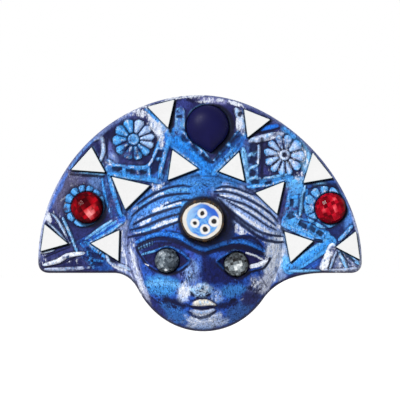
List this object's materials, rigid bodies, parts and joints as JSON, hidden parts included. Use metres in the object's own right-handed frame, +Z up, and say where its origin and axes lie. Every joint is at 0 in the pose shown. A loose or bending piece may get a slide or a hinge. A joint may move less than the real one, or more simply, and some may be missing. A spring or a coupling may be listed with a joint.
{
  "type": "ceramic evil eye wall hanging",
  "caption": "Painted ceramic face under a fan-shaped sunburst crown, set with triangular mirrors, faceted glass stones and a glazed disc of painted eyes, hung flat on a wall by a nail.",
  "frame": {"origin": "mouth of the nail hole, on the back face that lies on the wall", "axes": "+Z up, -Y out of the wall towards the viewer, +X to the right as seen from the front"},
  "size_m": [0.206, 0.0323, 0.1504],
  "materials": {
    "painted_clay": "matt wash, dry-brushed",
    "mirror": "polished, with cut edges",
    "red_glass": "faceted, foil-backed",
    "grey_glass": "faceted, foil-backed",
    "navy_glass": "opaque, satin",
    "glaze": "glossy, painted under the glaze",
    "glue": "cured adhesive"
  },
  "bodies": {
    "root": {"ceramic_body": "painted_clay", "mirror_ray_1": "mirror", "mirror_ray_2": "mirror", "mirror_ray_3": "mirror", "mirror_ray_4": "mirror", "mirror_ray_5": "mirror", "mirror_ray_6": "mirror", "mirror_fan_1": "mirror", "mirror_fan_2": "mirror", "mirror_fan_3": "mirror", "mirror_fan_4": "mirror", "mirror_fan_5": "mirror", "mirror_fan_6": "mirror", "red_gem_left": "red_glass", "red_gem_right": "red_glass", "eye_stone_left": "grey_glass", "eye_stone_right": "grey_glass", "blue_drop": "navy_glass", "forehead_disc": "glaze", "glue_ray_1": "glue", "glue_ray_2": "glue", "glue_ray_3": "glue", "glue_ray_4": "glue", "glue_ray_5": "glue", "glue_ray_6": "glue", "glue_fan_1": "glue", "glue_fan_2": "glue", "glue_fan_3": "glue", "glue_fan_4": "glue", "glue_fan_5": "glue", "glue_fan_6": "glue", "glue_red_gem_left": "glue", "glue_red_gem_right": "glue", "glue_eye_stone_left": "glue", "glue_eye_stone_right": "glue", "glue_drop": "glue", "glue_disc": "glue"}
  },
  "joints": []
}
